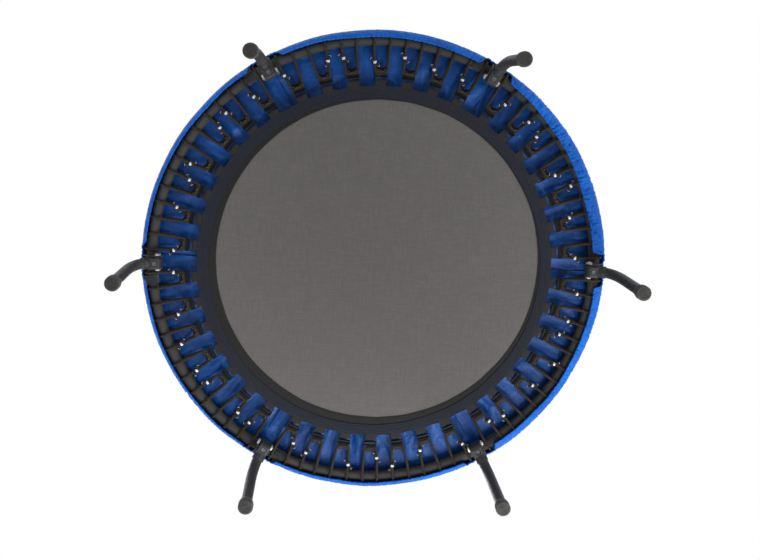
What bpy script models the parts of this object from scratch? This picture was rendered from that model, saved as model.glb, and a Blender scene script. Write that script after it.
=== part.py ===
"""Round mini trampoline on six arched folding legs, hung on looped elastic cords.

The part stands on its feet with the soles at z = 0, and its axis is the world Z axis.
Each leg hangs on a bolt that runs along the tangent of the ring, and folds inward
under the mat. Lengths are metres and angles are degrees unless a name says otherwise.
"""
import math

import bmesh
import bpy
import numpy as np
from mathutils import Vector

# ---- driving dimensions ----------------------------------------------------
GAP = 0.0003                    # clearance that touching pieces keep
RING_Z = 0.300                  # height of the ring tube's centre line
RING_RADIUS = 0.548             # ring centre line
TUBE_RADIUS = 0.0127            # ring and leg tube, outside
TUBE_WALL = 0.0016
VENT_ARC = 0.7                  # degrees of the ring that its vent hole takes up
LEG_COUNT = 6
LEG_STEP = 360.0 / LEG_COUNT

LOOPS_PER_BAY = 7
LEG_GAP = 10.0                  # between the loops on either side of a leg
LOOP_PITCH = (LEG_STEP - LEG_GAP) / (LOOPS_PER_BAY - 1)
CORD_HALF = 0.0030              # half the cord's thickness
CORD_WRAP_RADIUS = 0.01703      # cord centre line round the ring tube
CORD_SPREAD_RING = 0.0215       # from a loop's middle to each strand, at the ring
CORD_SPREAD_HOOK = 0.0150       # the same at the hook
CORD_HOOK_RADIUS = 0.4655
CORD_HOOK_RISE = 0.0050         # upper and lower bends above and below the hook

MAT_RADIUS = 0.432
MAT_TOP = RING_Z + 0.0020
MAT_THICKNESS = 0.0020
BAND_RADII = (0.403, 0.4335, 0.4452)    # inner edge, hem edge, end of the sewn tabs
BAND_THICKNESS = 0.0030
TAB_HALF = 0.0120
HOOK_RADII = (0.4456, 0.4486, 0.4600, 0.4680)
HOOK_HALF = (0.0170, 0.0140)            # half width over the side bars and between them
HOOK_HALF_THICKNESS = 0.0015

PAD_INNER = 0.412
PAD_FOAM = 0.0165
PAD_BOTTOM = 0.0215             # above the ring's centre line, over the cords
PAD_OUTER = 0.5728
PAD_INNER_EDGE = (0.008, 0.005)         # chamfer of the foam's inner top edge, in and down
PAD_SHOULDER = (0.0158, 0.005, 0.004)   # where the outer edge starts, bends, and how far it drops
SKIRT_THICKNESS = 0.0028
SKIRT_DROP = -0.014             # hem below the ring's centre line
SKIRT_RAISED = 0.006            # hem where it is cut out over a leg
NOTCH_HALF = 3.8                # degrees on each side of a leg
NOTCH_RAMP = 0.6                # half of the hem's slope at the notch's edge, in degrees

PIVOT_RADIUS = 0.530
PIVOT_Z = RING_Z - 0.024
SADDLE_GAP = 0.0012             # filled by the weld
SADDLE_THICKNESS = 0.0026
SADDLE_ARC = (195, 345)         # degrees round the ring's section
SADDLE_INSET = 0.0004           # the saddle's ends inside the ears' outer faces
EAR_INNER = 0.0135
EAR_OUTER = 0.0160
EAR_ARC = (200, 340)
EAR_EDGE = ((0.0375, 0.0130), (0.0340, 0.0030), (0.0200, -0.0050), (0.0095, -0.0100))
EAR_NOSE = 0.0125               # the ear's rounding about the bolt
EAR_NOSE_ARC = (285, 160)
KNUCKLE_RADIUS = 0.0122
BOLT_RADIUS = 0.0040
BOLT_HOLE = 0.0045
BOLT_HEAD_RADIUS = 0.0073
BOLT_HEAD = 0.0046
DRILL_HALF = 0.03               # half length of a cutter that goes right through
BUTTON_SIDE = 0.0110
BUTTON_CHAMFER = 0.0010
BUTTON_POCKET = 0.0125
BUTTON_HEIGHT = 0.0050
BUTTON_OFFSET = 0.0030          # outward from the pivot
BUTTON_SUNK = 0.0005            # inside the block's underside
POCKET_DEPTH = 0.0090
BLOCK_DROP = 0.034              # the block's underside below the pivot
BLOCK_HEEL = ((-KNUCKLE_RADIUS, -0.026), (-0.006, -BLOCK_DROP), (0.012, -BLOCK_DROP))
BLOCK_BROW = (0.0270, -0.0040)  # where the knuckle's slope meets the weld's face
LEG_EXIT = (0.0240, -0.0220)    # middle of the leg's weld, outward and up from the pivot
LEG_EXIT_SLOPE = 37.0           # degrees below level
WELD_HALF = 0.0135              # half height of the block's face there
WELD_STRAIGHT = 0.004           # tube that leaves the weld before it bends
KNEE_DROP = 0.120               # where the arch has become upright, below the pivot
KNEE_EASE = 0.001               # the arch's control point inside the upright's line
ARCH_STEPS = 5

SOLE_RADIUS = 0.0150
SOLE_ROUNDING = 0.002
FOOT_RADIUS = 0.0170
FOOT_SHOULDER = 0.018
FOOT_LIP = 0.0152
FOOT_FIT = 0.0001               # extra room round the leg in the foot's bore
FOOT_HEIGHT = 0.030
SOLE_THICKNESS = 0.006
LEG_FOOT_RADIUS = 0.582         # where the foot stands, from the axis

STRAP_GAP = 0.0010
STRAP_THICKNESS = 0.0016
STRAP_HALF = 0.013
STRAP_ARC = (-200, 90)          # degrees round the ring's section

RING_SEGMENTS = 72
TUBE_SIDES = 12


# ---- helpers ---------------------------------------------------------------
def clear_scene():
    for old in list(bpy.data.objects):
        bpy.data.objects.remove(old, do_unlink=True)


def finish(name, colour, roughness, metallic=0.0):
    """A plain painted, moulded or woven material."""
    material = bpy.data.materials.new(name)
    material.use_nodes = True
    shader = material.node_tree.nodes["Principled BSDF"]
    shader.inputs["Base Color"].default_value = (*colour, 1.0)
    shader.inputs["Roughness"].default_value = roughness
    shader.inputs["Metallic"].default_value = metallic
    material.diffuse_color = (*colour, 1.0)
    return material


def polar(radius, degrees, z):
    angle = math.radians(degrees)
    return Vector((radius * math.cos(angle), radius * math.sin(angle), z))


def mesh_of(bm, name, smooth_angle=40.0):
    bmesh.ops.recalc_face_normals(bm, faces=bm.faces)
    mesh = bpy.data.meshes.new(name)
    bm.to_mesh(mesh)
    bm.free()
    mesh.shade_smooth()
    mesh.set_sharp_from_angle(angle=math.radians(smooth_angle))
    return mesh


def place(name, mesh, material, location=(0, 0, 0), turn=0.0, parent=None):
    """A named sub-part, turned about Z by so many degrees."""
    if not mesh.materials:
        mesh.materials.append(material)
    piece = bpy.data.objects.new(name, mesh)
    bpy.context.collection.objects.link(piece)
    piece.location = location
    piece.rotation_euler = (0.0, 0.0, math.radians(turn))
    piece.parent = parent
    return piece


def skin(loops, round_trip=False):
    """A closed surface through loops of points, all with as many points.

    Its two ends are capped, or joined to each other when round_trip is set."""
    bm = bmesh.new()
    rows = [[bm.verts.new(point) for point in loop] for loop in loops]
    count = len(rows[0])
    pairs = list(zip(rows, rows[1:]))
    if round_trip:
        pairs.append((rows[-1], rows[0]))
    for low, high in pairs:
        for i in range(count):
            j = (i + 1) % count
            bm.faces.new((low[i], low[j], high[j], high[i]))
    if not round_trip:
        bm.faces.new(rows[0][::-1])
        bm.faces.new(rows[-1])
    return bm


def prism(outline, low, high):
    """The (x, z) outline carried along y from low to high."""
    return skin([[Vector((x, y, z)) for x, z in outline] for y in (low, high)])


def arc(centre, radius, start, stop, steps):
    """Points on a circle in the (x, z) plane, from start to stop degrees."""
    angles = np.radians(np.linspace(start, stop, steps + 1))
    return [(centre[0] + radius * math.cos(a), centre[1] + radius * math.sin(a)) for a in angles]


def circle_loop(radius, sides, centre, across, up):
    """A loop of points round centre, in the plane of the two unit vectors."""
    angles = [2 * math.pi * i / sides for i in range(sides)]
    return [centre + across * (radius * math.cos(a)) + up * (radius * math.sin(a)) for a in angles]


def combine(name, base, joined=(), cut=()):
    """One mesh from bmeshes: base, with some joined to it and some cut from it."""
    work = bpy.data.objects.new(name + "_work", mesh_of(base, name + "_base"))
    bpy.context.collection.objects.link(work)
    tools = []
    for operation, shapes in (("UNION", joined), ("DIFFERENCE", cut)):
        for shape in shapes:
            tool = bpy.data.objects.new(name + "_tool", mesh_of(shape, name + "_tool"))
            bpy.context.collection.objects.link(tool)
            tools.append(tool)
            change = work.modifiers.new(operation.lower(), "BOOLEAN")
            change.operation = operation
            change.solver = "EXACT"
            change.object = tool
    graph = bpy.context.evaluated_depsgraph_get()
    mesh = bpy.data.meshes.new_from_object(work.evaluated_get(graph))
    mesh.name = name
    for scrap in [work, *tools]:
        bpy.data.objects.remove(scrap, do_unlink=True)
    mesh.shade_smooth()
    mesh.set_sharp_from_angle(angle=math.radians(40.0))
    return mesh


def polar_cells(radii, angles, filled, low, high):
    """A flat solid of the filled cells of a polar grid.

    filled[i][j] is the cell from radii[i] to radii[i + 1] and from angles[j] to
    angles[j + 1]. A wall stands wherever a filled cell has an empty neighbour. Where
    the angles go all the way round, the last one is left off and the grid closes."""
    filled = np.asarray(filled, bool)
    around = filled.shape[1] == len(angles)
    bm = bmesh.new()
    points = {}

    def point(i, j, level):
        key = (i, j % len(angles), level)
        if key not in points:
            z = (low, high)[level]
            points[key] = bm.verts.new(polar(radii[i], angles[key[1]], z))
        return points[key]

    def cell(i, j):
        if around:
            j %= filled.shape[1]
        inside = 0 <= i < filled.shape[0] and 0 <= j < filled.shape[1]
        return inside and filled[i, j]

    def wall(a, b):
        bm.faces.new((point(*a, 0), point(*b, 0), point(*b, 1), point(*a, 1)))

    for i, j in np.argwhere(filled):
        corners = ((i, j), (i + 1, j), (i + 1, j + 1), (i, j + 1))
        for level in (0, 1):
            bm.faces.new([point(*c, level) for c in corners])
        sides = ((i, j - 1), (i + 1, j), (i, j + 1), (i - 1, j))
        for side, (a, b) in zip(sides, zip(corners, corners[1:] + corners[:1])):
            if not cell(*side):
                wall(a, b)
    return bm


# ---- layout ----------------------------------------------------------------
def leg_angles():
    return [LEG_STEP * k for k in range(LEG_COUNT)]


def bay_loops(bay):
    """The middle of each cord loop of a bay, in degrees. Bay k follows leg k."""
    first = LEG_STEP * bay + LEG_GAP / 2
    return [first + LOOP_PITCH * i for i in range(LOOPS_PER_BAY)]


def spread(length, radius):
    """The angle in degrees that a length along the tangent takes up."""
    return math.degrees(length / radius)


# ---- frame -----------------------------------------------------------------
def ring_section(radius, sides, degrees):
    """The tube's section at an angle round the ring, with a flat facet underneath."""
    loop = []
    for i in range(sides):
        a = 2 * math.pi * (i + 0.5) / sides - math.pi / 2
        loop.append(polar(RING_RADIUS + radius * math.cos(a), degrees, radius * math.sin(a)))
    return loop


def frame_ring(material):
    """A welded ring of round tube, hollow, with one vent hole in its underside."""
    angles = [0.0, VENT_ARC] + [360.0 * i / RING_SEGMENTS for i in range(1, RING_SEGMENTS)]
    bm = bmesh.new()
    walls = []
    for radius, sides in ((TUBE_RADIUS, TUBE_SIDES), (TUBE_RADIUS - TUBE_WALL, 6)):
        rows = []
        for degrees in angles:
            rows.append([bm.verts.new(p) for p in ring_section(radius, sides, degrees)])
        for k, row in enumerate(rows):
            ahead = rows[(k + 1) % len(rows)]
            for i in range(sides):
                j = (i + 1) % sides
                is_vent = k == 0 and i == sides - 1
                if not is_vent:
                    bm.faces.new((row[i], row[j], ahead[j], ahead[i]))
        walls.append((rows[0][-1], rows[0][0], rows[1][0], rows[1][-1]))
    outer, inner = walls
    for i in range(4):
        j = (i + 1) % 4
        bm.faces.new((outer[i], outer[j], inner[j], inner[i]))
    place("frame_ring", mesh_of(bm, "frame_ring"), material, (0, 0, RING_Z))


def bracket_mesh():
    """A saddle under the ring with two ears that carry the pivot bolt.

    It is drawn about the pivot: x is outward, y along the bolt and z up."""
    ring = (RING_RADIUS - PIVOT_RADIUS, RING_Z - PIVOT_Z)
    inside = TUBE_RADIUS + SADDLE_GAP
    outside = inside + SADDLE_THICKNESS
    saddle = arc(ring, inside, *SADDLE_ARC, 8) + arc(ring, outside, *SADDLE_ARC[::-1], 8)
    ear = arc(ring, inside + GAP, *EAR_ARC, 8) + list(EAR_EDGE)
    ear += arc((0, 0), EAR_NOSE, *EAR_NOSE_ARC, 6)
    half = EAR_OUTER - SADDLE_INSET
    middle = prism(saddle, -half, half)
    ears = [prism(ear, *sorted((s * EAR_INNER, s * EAR_OUTER))) for s in (-1, 1)]
    hole = prism(arc((0, 0), BOLT_HOLE, 0, 330, 11), -DRILL_HALF, DRILL_HALF)
    return combine("leg_bracket", middle, ears, [hole])


def bolt_mesh():
    """A hexagon-head bolt with its nut, along y."""
    across, up = Vector((1, 0, 0)), Vector((0, 0, 1))

    def loop(y, radius, hexagon=False):
        points = circle_loop(radius, 12, Vector((0, y, 0)), across, up)
        if hexagon:
            for i in range(1, 12, 2):
                points[i] = Vector((0, y, 0)) + (points[i] - Vector((0, y, 0))) * math.cos(math.pi / 6)
        return points

    inner = EAR_OUTER + GAP
    outer = inner + BOLT_HEAD
    stations = [(-outer, BOLT_HEAD_RADIUS, True), (-inner, BOLT_HEAD_RADIUS, True)]
    stations += [(-inner, BOLT_RADIUS, False), (inner, BOLT_RADIUS, False)]
    stations += [(inner, BOLT_HEAD_RADIUS, True), (outer, BOLT_HEAD_RADIUS, True)]
    return mesh_of(skin([loop(*s) for s in stations]), "pivot_bolt")


# ---- legs, drawn about the pivot: x outward, y along the bolt, z up ---------
def leg_exit():
    """Where the tube leaves the hinge block, and the way it points there."""
    slope = math.radians(LEG_EXIT_SLOPE)
    return Vector((*LEG_EXIT, 0)).xzy, Vector((math.cos(slope), 0, -math.sin(slope)))


def leg_route():
    """Centre line of the arched leg, from the hinge block to inside the foot."""
    foot_x = LEG_FOOT_RADIUS - PIVOT_RADIUS
    face, along = leg_exit()
    weld = face + along * GAP
    start = weld + along * WELD_STRAIGHT
    bend = start + along * ((foot_x - KNEE_EASE - start.x) / along.x)
    knee = Vector((foot_x, 0, -KNEE_DROP))
    end = Vector((foot_x, 0, SOLE_THICKNESS + GAP - PIVOT_Z))
    curve = [weld]
    for i in range(ARCH_STEPS + 1):
        t = i / ARCH_STEPS
        curve.append(start * (1 - t) ** 2 + bend * (2 * t * (1 - t)) + knee * t * t)
    return curve + [knee.lerp(end, 0.5), end]


def leg_mesh():
    """A bent tube, open at both ends."""
    route = leg_route()
    side = Vector((0, 1, 0))
    frames = []
    for i, point in enumerate(route):
        ahead = route[min(i + 1, len(route) - 1)] - route[max(i - 1, 0)]
        frames.append((point, side.cross(ahead.normalized())))
    loops = []
    for radius, order in ((TUBE_RADIUS, frames), (TUBE_RADIUS - TUBE_WALL, frames[::-1])):
        loops += [circle_loop(radius, TUBE_SIDES, point, side, up) for point, up in order]
    return mesh_of(skin(loops, round_trip=True), "leg_tube")


def foot_mesh():
    """A rubber cup that the leg's end stands in, drawn about the leg's axis at z = 0."""
    across, up = Vector((1, 0, 0)), Vector((0, 1, 0))
    bore = TUBE_RADIUS + GAP / math.cos(math.pi / TUBE_SIDES) + FOOT_FIT
    turned = [(SOLE_RADIUS, 0.0), (FOOT_RADIUS, SOLE_ROUNDING), (FOOT_RADIUS, FOOT_SHOULDER)]
    turned += [(FOOT_LIP, FOOT_HEIGHT), (bore, FOOT_HEIGHT), (bore, SOLE_THICKNESS)]
    loops = [circle_loop(r, TUBE_SIDES, Vector((0, 0, z)), across, up) for r, z in turned]
    return mesh_of(skin(loops), "foot")


def block_mesh():
    """The leg's head: a knuckle round the bolt, and a pocket for the lock button."""
    outline = arc((0, 0), KNUCKLE_RADIUS, 40, 180, 7)
    face, along = leg_exit()
    up = Vector((-along.z, 0, along.x)) * WELD_HALF
    outline += list(BLOCK_HEEL) + [(p.x, p.z) for p in (face - up, face + up)] + [BLOCK_BROW]
    half = EAR_INNER - GAP
    body = prism(outline, -half, half)
    hole = prism(arc((0, 0), BOLT_HOLE, 0, 330, 11), -DRILL_HALF, DRILL_HALF)
    side = BUTTON_POCKET / 2
    square = [(side * x, side * y) for x, y in ((-1, -1), (1, -1), (1, 1), (-1, 1))]
    levels = (-BLOCK_DROP - POCKET_DEPTH, -BLOCK_DROP + POCKET_DEPTH)
    pocket = skin([[Vector((x + BUTTON_OFFSET, y, z)) for x, y in square] for z in levels])
    return combine("hinge_block", body, cut=[hole, pocket])


def button_mesh():
    """A square push button with a softened rim, its outer face at z = 0."""
    half = BUTTON_SIDE / 2
    loops = []
    for z, size in ((0.0, half - BUTTON_CHAMFER), (BUTTON_CHAMFER, half), (BUTTON_HEIGHT, half)):
        corners = ((-1, -1), (1, -1), (1, 1), (-1, 1))
        loops.append([Vector((size * x, size * y, z)) for x, y in corners])
    return mesh_of(skin(loops), "lock_button")


def strap_mesh():
    """A short strap round the ring tube that ties the cover down, drawn along y."""
    inside = TUBE_RADIUS + STRAP_GAP
    outside = inside + STRAP_THICKNESS
    outline = arc((0, 0), inside, *STRAP_ARC, 10) + arc((0, 0), outside, *STRAP_ARC[::-1], 10)
    return mesh_of(prism(outline, -STRAP_HALF, STRAP_HALF), "cover_strap")


def legs(finishes):
    """Six legs, each on an empty at its pivot bolt."""
    bracket, bolt, tube = bracket_mesh(), bolt_mesh(), leg_mesh()
    foot, block, button, strap = foot_mesh(), block_mesh(), button_mesh(), strap_mesh()
    foot_at = (LEG_FOOT_RADIUS - PIVOT_RADIUS, 0, -PIVOT_Z)
    button_at = (BUTTON_OFFSET, 0, -BLOCK_DROP + BUTTON_SUNK)
    for k, angle in enumerate(leg_angles(), start=1):
        pivot = bpy.data.objects.new(f"leg_pivot_{k}", None)
        bpy.context.collection.objects.link(pivot)
        pivot.location = polar(PIVOT_RADIUS, angle, PIVOT_Z)
        pivot.rotation_euler.z = math.radians(angle)
        place(f"leg_bracket_{k}", bracket, finishes["bracket"], parent=pivot)
        place(f"pivot_bolt_{k}", bolt, finishes["zinc"], parent=pivot)
        place(f"hinge_block_{k}", block, finishes["plastic"], parent=pivot)
        place(f"lock_button_{k}", button, finishes["button"], button_at, parent=pivot)
        place(f"leg_tube_{k}", tube, finishes["leg"], parent=pivot)
        place(f"foot_{k}", foot, finishes["rubber"], foot_at, parent=pivot)
        beside = angle - LEG_GAP / 2
        place(f"cover_strap_{k}", strap, finishes["strap"], polar(RING_RADIUS, beside, RING_Z), beside)


# ---- mat, hooks and cords --------------------------------------------------
def mat(finishes):
    """The mat, its sewn edge band with a tab for each hook, and the hooks by bay."""
    loops = [a for bay in range(LEG_COUNT) for a in bay_loops(bay)]
    flat = [[polar(MAT_RADIUS, 360.0 * i / 84, z) for i in range(84)] for z in (0, MAT_THICKNESS)]
    low = MAT_TOP - MAT_THICKNESS
    place("jump_mat", mesh_of(skin(flat), "jump_mat"), finishes["mat"], (0, 0, low))

    tab = spread(TAB_HALF, BAND_RADII[2])
    angles = [a + s * tab for a in loops for s in (-1, 1)]
    has_tab = [j % 2 == 0 for j in range(len(angles))]
    cells = [[True] * len(angles), has_tab]
    band = polar_cells(BAND_RADII, angles, cells, 0, BAND_THICKNESS)
    below = low - GAP - BAND_THICKNESS
    place("mat_edge_band", mesh_of(band, "mat_edge_band"), finishes["webbing"], (0, 0, below))

    for bay in range(LEG_COUNT):
        wide, narrow = (spread(w, HOOK_RADII[2]) for w in HOOK_HALF)
        angles, bars = [], []
        for a in bay_loops(bay):
            angles += [a - wide, a - narrow, a + narrow, a + wide]
            bars += [[1, 1, 1], [1, 0, 1], [1, 1, 1], [1, 0, 0]]
        hooks = polar_cells(HOOK_RADII, angles, np.array(bars[:-1]).T, *hook_levels())
        place(f"mat_hooks_{bay + 1}", mesh_of(hooks, "mat_hooks"), finishes["hook"], (0, 0, RING_Z))


def hook_levels():
    return -HOOK_HALF_THICKNESS, HOOK_HALF_THICKNESS


def strand_route(loop, side, downward):
    """One strand, from its bend at the hook round the ring tube and back to the hook."""
    at_hook = loop + side * spread(CORD_SPREAD_HOOK, CORD_HOOK_RADIUS)
    at_ring = loop + side * spread(CORD_SPREAD_RING, RING_RADIUS)
    route = [polar(CORD_HOOK_RADIUS, at_hook, -CORD_HOOK_RISE)]
    for x, z in arc((RING_RADIUS, 0), CORD_WRAP_RADIUS, -80, 80, 4):
        route.append(polar(x, at_ring, z))
    route.append(polar(CORD_HOOK_RADIUS, at_hook, CORD_HOOK_RISE))
    return route[::-1] if downward else route


def cord_mesh(route):
    """A square cord along a route, mitred at its points.

    Its sides stay square to the ring, and are carried on without twisting."""
    loops = []
    first = None
    for i, point in enumerate(route):
        back = (point - route[i - 1]).normalized() if i else None
        ahead = (route[i + 1] - point).normalized() if i + 1 < len(route) else back
        back = back or ahead
        along = (back + ahead).normalized()
        bend = (ahead - back).normalized()
        mitre = 1 / along.dot(ahead) - 1
        radial = Vector((point.x, point.y, 0)).normalized()
        tangent = Vector((-radial.y, radial.x, 0))
        side = radial if abs(along.dot(tangent)) > 0.5 else tangent
        side = (side - along * side.dot(along)).normalized()
        first = -side if first and side.dot(first) < 0 else side
        second = along.cross(first)
        loop = []
        for x, y in ((-1, -1), (1, -1), (1, 1), (-1, 1)):
            offset = (first * x + second * y) * CORD_HALF
            loop.append(point + offset + bend * (offset.dot(bend) * mitre))
        loops.append(loop)
    return mesh_of(skin(loops), "bungee_cords")


def cords(material):
    """The seven loops of each bay. One stretch of cord between neighbours joins them."""
    for bay in range(LEG_COUNT):
        route = []
        for loop in bay_loops(bay):
            route += strand_route(loop, -1, False) + strand_route(loop, 1, True)
        place(f"bungee_cords_{bay + 1}", cord_mesh(route), material, (0, 0, RING_Z))


# ---- cover -----------------------------------------------------------------
def hem_height(degrees):
    """Height of the cover's hem, which is cut out over each leg."""
    off = abs((degrees + LEG_STEP / 2) % LEG_STEP - LEG_STEP / 2)
    t = min(max((off - NOTCH_HALF + NOTCH_RAMP) / (2 * NOTCH_RAMP), 0.0), 1.0)
    return SKIRT_RAISED + (SKIRT_DROP - SKIRT_RAISED) * t * t * (3 - 2 * t)


def cover_angles():
    """Closer together beside each leg, where the hem is cut out."""
    edges = [NOTCH_HALF - NOTCH_RAMP, NOTCH_HALF + NOTCH_RAMP, 10.0, 16.0, 22.0, 27.0]
    offsets = [0.0] + edges + [LEG_STEP - e for e in edges[::-1]]
    return [leg + offset for leg in leg_angles() for offset in offsets]


def cover(material):
    """The foam ring over the cords, and the skirt down the outside of the ring tube."""
    top = PAD_BOTTOM + PAD_FOAM
    inside = PAD_OUTER - SKIRT_THICKNESS
    inner_run, inner_drop = PAD_INNER_EDGE
    shoulder, edge, drop = PAD_SHOULDER
    foam = [(PAD_INNER, PAD_BOTTOM), (PAD_INNER, top - inner_drop), (PAD_INNER + inner_run, top)]
    foam += [(PAD_OUTER - shoulder, top), (PAD_OUTER - edge, top - drop), (PAD_OUTER, PAD_BOTTOM)]
    skirt_top = PAD_BOTTOM - GAP
    foam_loops, skirt_loops = [], []
    for degrees in cover_angles():
        hem = hem_height(degrees)
        skirt = [(PAD_OUTER, skirt_top), (PAD_OUTER, hem), (inside, hem), (inside, skirt_top)]
        foam_loops.append([polar(r, degrees, z) for r, z in foam])
        skirt_loops.append([polar(r, degrees, z) for r, z in skirt])
    for name, loops in (("safety_pad", foam_loops), ("pad_skirt", skirt_loops)):
        mesh = mesh_of(skin(loops, round_trip=True), name)
        place(name, mesh, material, (0, 0, RING_Z))


def main():
    clear_scene()
    finishes = {
        "bracket": finish("bracket_paint", (0.045, 0.045, 0.048), 0.45, 0.2),
        "zinc": finish("zinc_plated_bolt", (0.72, 0.71, 0.68), 0.25, 1.0),
        "plastic": finish("block_plastic", (0.030, 0.030, 0.032), 0.50),
        "button": finish("button_plastic", (0.075, 0.075, 0.085), 0.45),
        "leg": finish("leg_paint", (0.048, 0.048, 0.048), 0.42, 0.2),
        "rubber": finish("foot_rubber", (0.045, 0.045, 0.043), 0.75),
        "strap": finish("strap_elastic", (0.018, 0.018, 0.020), 0.85),
        "mat": finish("mat_mesh", (0.115, 0.105, 0.098), 0.80),
        "webbing": finish("edge_webbing", (0.020, 0.024, 0.036), 0.80),
        "hook": finish("hook_steel", (0.040, 0.038, 0.036), 0.35, 0.6),
    }
    frame_ring(finish("ring_paint", (0.048, 0.048, 0.048), 0.42, 0.2))
    legs(finishes)
    mat(finishes)
    cords(finish("cord_braid", (0.030, 0.024, 0.020), 0.85))
    cover(finish("cover_fabric", (0.006, 0.060, 0.330), 0.45))


main()
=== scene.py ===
import math

import bpy
import numpy as np
from mathutils import Matrix, Vector


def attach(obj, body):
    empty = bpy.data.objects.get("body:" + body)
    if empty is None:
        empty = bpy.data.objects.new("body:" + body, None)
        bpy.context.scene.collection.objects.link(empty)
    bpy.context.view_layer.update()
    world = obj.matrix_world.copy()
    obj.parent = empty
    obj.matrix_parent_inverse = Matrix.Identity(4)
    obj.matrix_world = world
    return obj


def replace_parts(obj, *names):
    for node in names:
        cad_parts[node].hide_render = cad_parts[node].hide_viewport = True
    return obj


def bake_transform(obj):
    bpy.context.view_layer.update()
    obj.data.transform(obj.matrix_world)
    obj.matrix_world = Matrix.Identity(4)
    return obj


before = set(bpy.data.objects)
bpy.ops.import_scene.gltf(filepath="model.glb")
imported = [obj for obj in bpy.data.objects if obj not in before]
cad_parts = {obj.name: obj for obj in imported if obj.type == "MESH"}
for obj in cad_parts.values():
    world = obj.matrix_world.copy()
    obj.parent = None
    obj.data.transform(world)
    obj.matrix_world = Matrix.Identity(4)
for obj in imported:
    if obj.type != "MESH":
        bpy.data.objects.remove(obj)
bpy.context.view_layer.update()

TAU = 2 * math.pi

# ---- driving dimensions -----------------------------------------------------------------
RING_RADIUS = 0.548
RING_Z = 0.3
TUBE = 0.0127                   # outside radius of the ring and leg tubes
LEGS = 6
LEG_STEP = TAU / LEGS
LOOPS = 7                       # cord loops between two legs
LOOP_FIRST = math.radians(5.0)  # from a leg to the first loop
LOOP_STEP = (LEG_STEP - 2 * LOOP_FIRST) / (LOOPS - 1)

CORD = 0.0033
CORD_AT_RING = 0.0195           # from a loop's middle to each strand
CORD_AT_HOOK = 0.0143
CORD_RISE = 0.005               # bends above and below the hook's plate
BIGHT_LOW = 0.4722              # radius of the bend under the plate
BIGHT_HIGH = 0.4784             # radius of the bend over it

MAT_RADIUS = 0.432
MAT_TOP = 0.302
MAT_LOW = 0.3
WEBBING = (0.4115, 0.4395)
INNER_BAND = 0.399
BAND_OFF_CENTRE = (-0.0066, 0.0064)
TAB_HALF = 0.0128
HOOK_BAR = 0.45                 # radius of the bar in the sewn tab
HOOK_PLATE = (0.458, 0.4692)

PAD_INNER = 0.412
PAD_OUTER = 0.5705
PAD_BOTTOM = 0.3217
HEM_NOTCH = math.radians(3.8)
SEAM_OFF = math.radians(1.1)    # from a leg to the cover's radial seam

PIVOT = (0.53, 0.276)           # radius and height of a leg's bolt
EAR_INNER = 0.0135
EAR_OUTER = 0.016
BLOCK_HALF = 0.0132
BLOCK_LOW = -0.034
WELD = (0.024, -0.022)
WELD_SLOPE = math.radians(37.0)
LEG_OUT = 0.052                 # foot's axis outward from the pivot
KNEE = -0.12
BUTTON_OUT = 0.003              # the lock button's middle, outward from the pivot

UP, SIDE = (0, 0, 1), (0, 1, 0)


# ---- arrays -----------------------------------------------------------------------------
def unit(v):
    """Vectors divided by their own lengths."""
    return v / np.maximum(np.linalg.norm(v, axis=-1, keepdims=True), 1e-12)


def polar(radius, angle, z):
    """Points (r cos a, r sin a, z). The three may be arrays of any matching shape."""
    r, a, z = np.broadcast_arrays(radius, angle, z)
    return np.stack([r * np.cos(a), r * np.sin(a), z], -1).astype(float)


def full_turn(count):
    """Even steps round a circle, in radians."""
    return np.arange(count) * TAU / count


def turned(points, angle):
    """Points turned about Z: x' = x cos a - y sin a, y' = x sin a + y cos a."""
    c, s = math.cos(angle), math.sin(angle)
    return points @ np.array([[c, s, 0], [-s, c, 0], [0, 0, 1]])


def smooth_step(t):
    """3 t^2 - 2 t^3, held at 0 and 1 outside."""
    t = np.clip(t, 0, 1)
    return t * t * (3 - 2 * t)


def waves(points, size, count, seed):
    """A sum of sines in random directions, with wavelengths near size, scaled to about -1..1."""
    rng = np.random.default_rng(seed)
    ways = unit(rng.normal(size=(count, 3))) * TAU / (size * rng.uniform(0.7, 1.5, (count, 1)))
    phase = rng.uniform(0, TAU, count)
    return np.sin(points @ ways.T + phase).sum(-1) / math.sqrt(count)


def spline(points, count, closed=False):
    """Catmull-Rom cubics through the points, sampled evenly along their length."""
    p = np.asarray(points, float)
    near = np.array([-1, 0, 1, 2])
    if closed:
        knots = (np.arange(len(p))[:, None] + near) % len(p)
    else:
        knots = np.clip(np.arange(len(p) - 1)[:, None] + near, 0, len(p) - 1)
    t = np.linspace(0, 1, 16, endpoint=False)
    share = [-t + 2 * t**2 - t**3, 2 - 5 * t**2 + 3 * t**3, t + 4 * t**2 - 3 * t**3, t**3 - t**2]
    fine = np.einsum("kt,nkc->ntc", 0.5 * np.array(share), p[knots]).reshape(-1, p.shape[1])
    fine = np.vstack([fine, fine[:1] if closed else p[-1:]])
    along = np.r_[0, np.cumsum(np.linalg.norm(np.diff(fine, axis=0), axis=1))]
    at = np.linspace(0, along[-1], count + closed)[:count]
    return np.stack([np.interp(at, along, fine[:, k]) for k in range(p.shape[1])], -1)


def length(path, closed=False):
    """Sum of the distances between neighbouring points."""
    if closed:
        path = np.vstack([path, path[:1]])
    return float(np.linalg.norm(np.diff(path, axis=0), axis=1).sum())


def arc(centre, radius, start, stop, count):
    """(x, z) points on a circle, from start to stop degrees."""
    a = np.radians(np.linspace(start, stop, count))
    return np.stack([centre[0] + radius * np.cos(a), centre[1] + radius * np.sin(a)], -1)


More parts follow.
